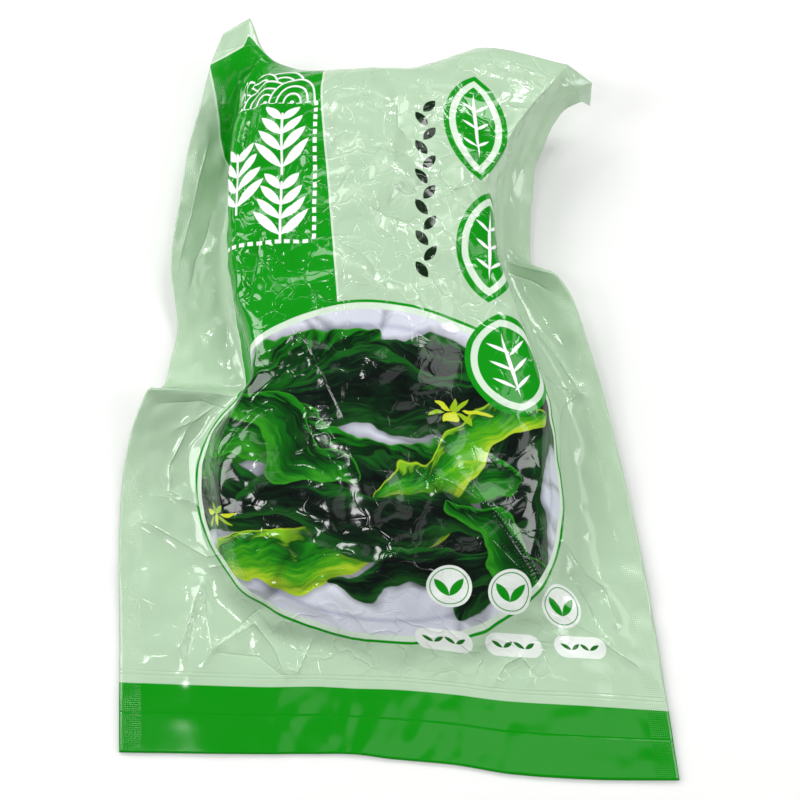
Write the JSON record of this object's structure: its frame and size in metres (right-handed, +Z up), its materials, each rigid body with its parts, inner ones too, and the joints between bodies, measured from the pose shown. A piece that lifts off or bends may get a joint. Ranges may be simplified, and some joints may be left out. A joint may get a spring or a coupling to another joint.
{
  "type": "vacuum-packed kelp pouch",
  "caption": "Flat printed film pouch vacuum-sealed tight over a block of folded wet kelp, lying on its back with puckered side flaps and a turned-up top seal.",
  "frame": {"origin": "centre of the pouch's box in plan, on the surface that it lies on", "axes": "+Y from the filled bottom end with the green band to the turned-up top seal, +X to the right of the print, +Z up out of the printed side"},
  "size_m": [0.2544, 0.3608, 0.0493],
  "materials": {
    "printed_film": "glossy printed laminate, pale mint with green print, wrinkled by the vacuum",
    "plain_film": "glossy pale mint laminate with a plain green band at the bottom end",
    "wet_kelp": "wet, smooth, very dark green blades; sealed in and not seen"
  },
  "bodies": {
    "root": {"front_film": "printed_film", "back_film": "plain_film", "kelp": "wet_kelp"}
  },
  "joints": []
}
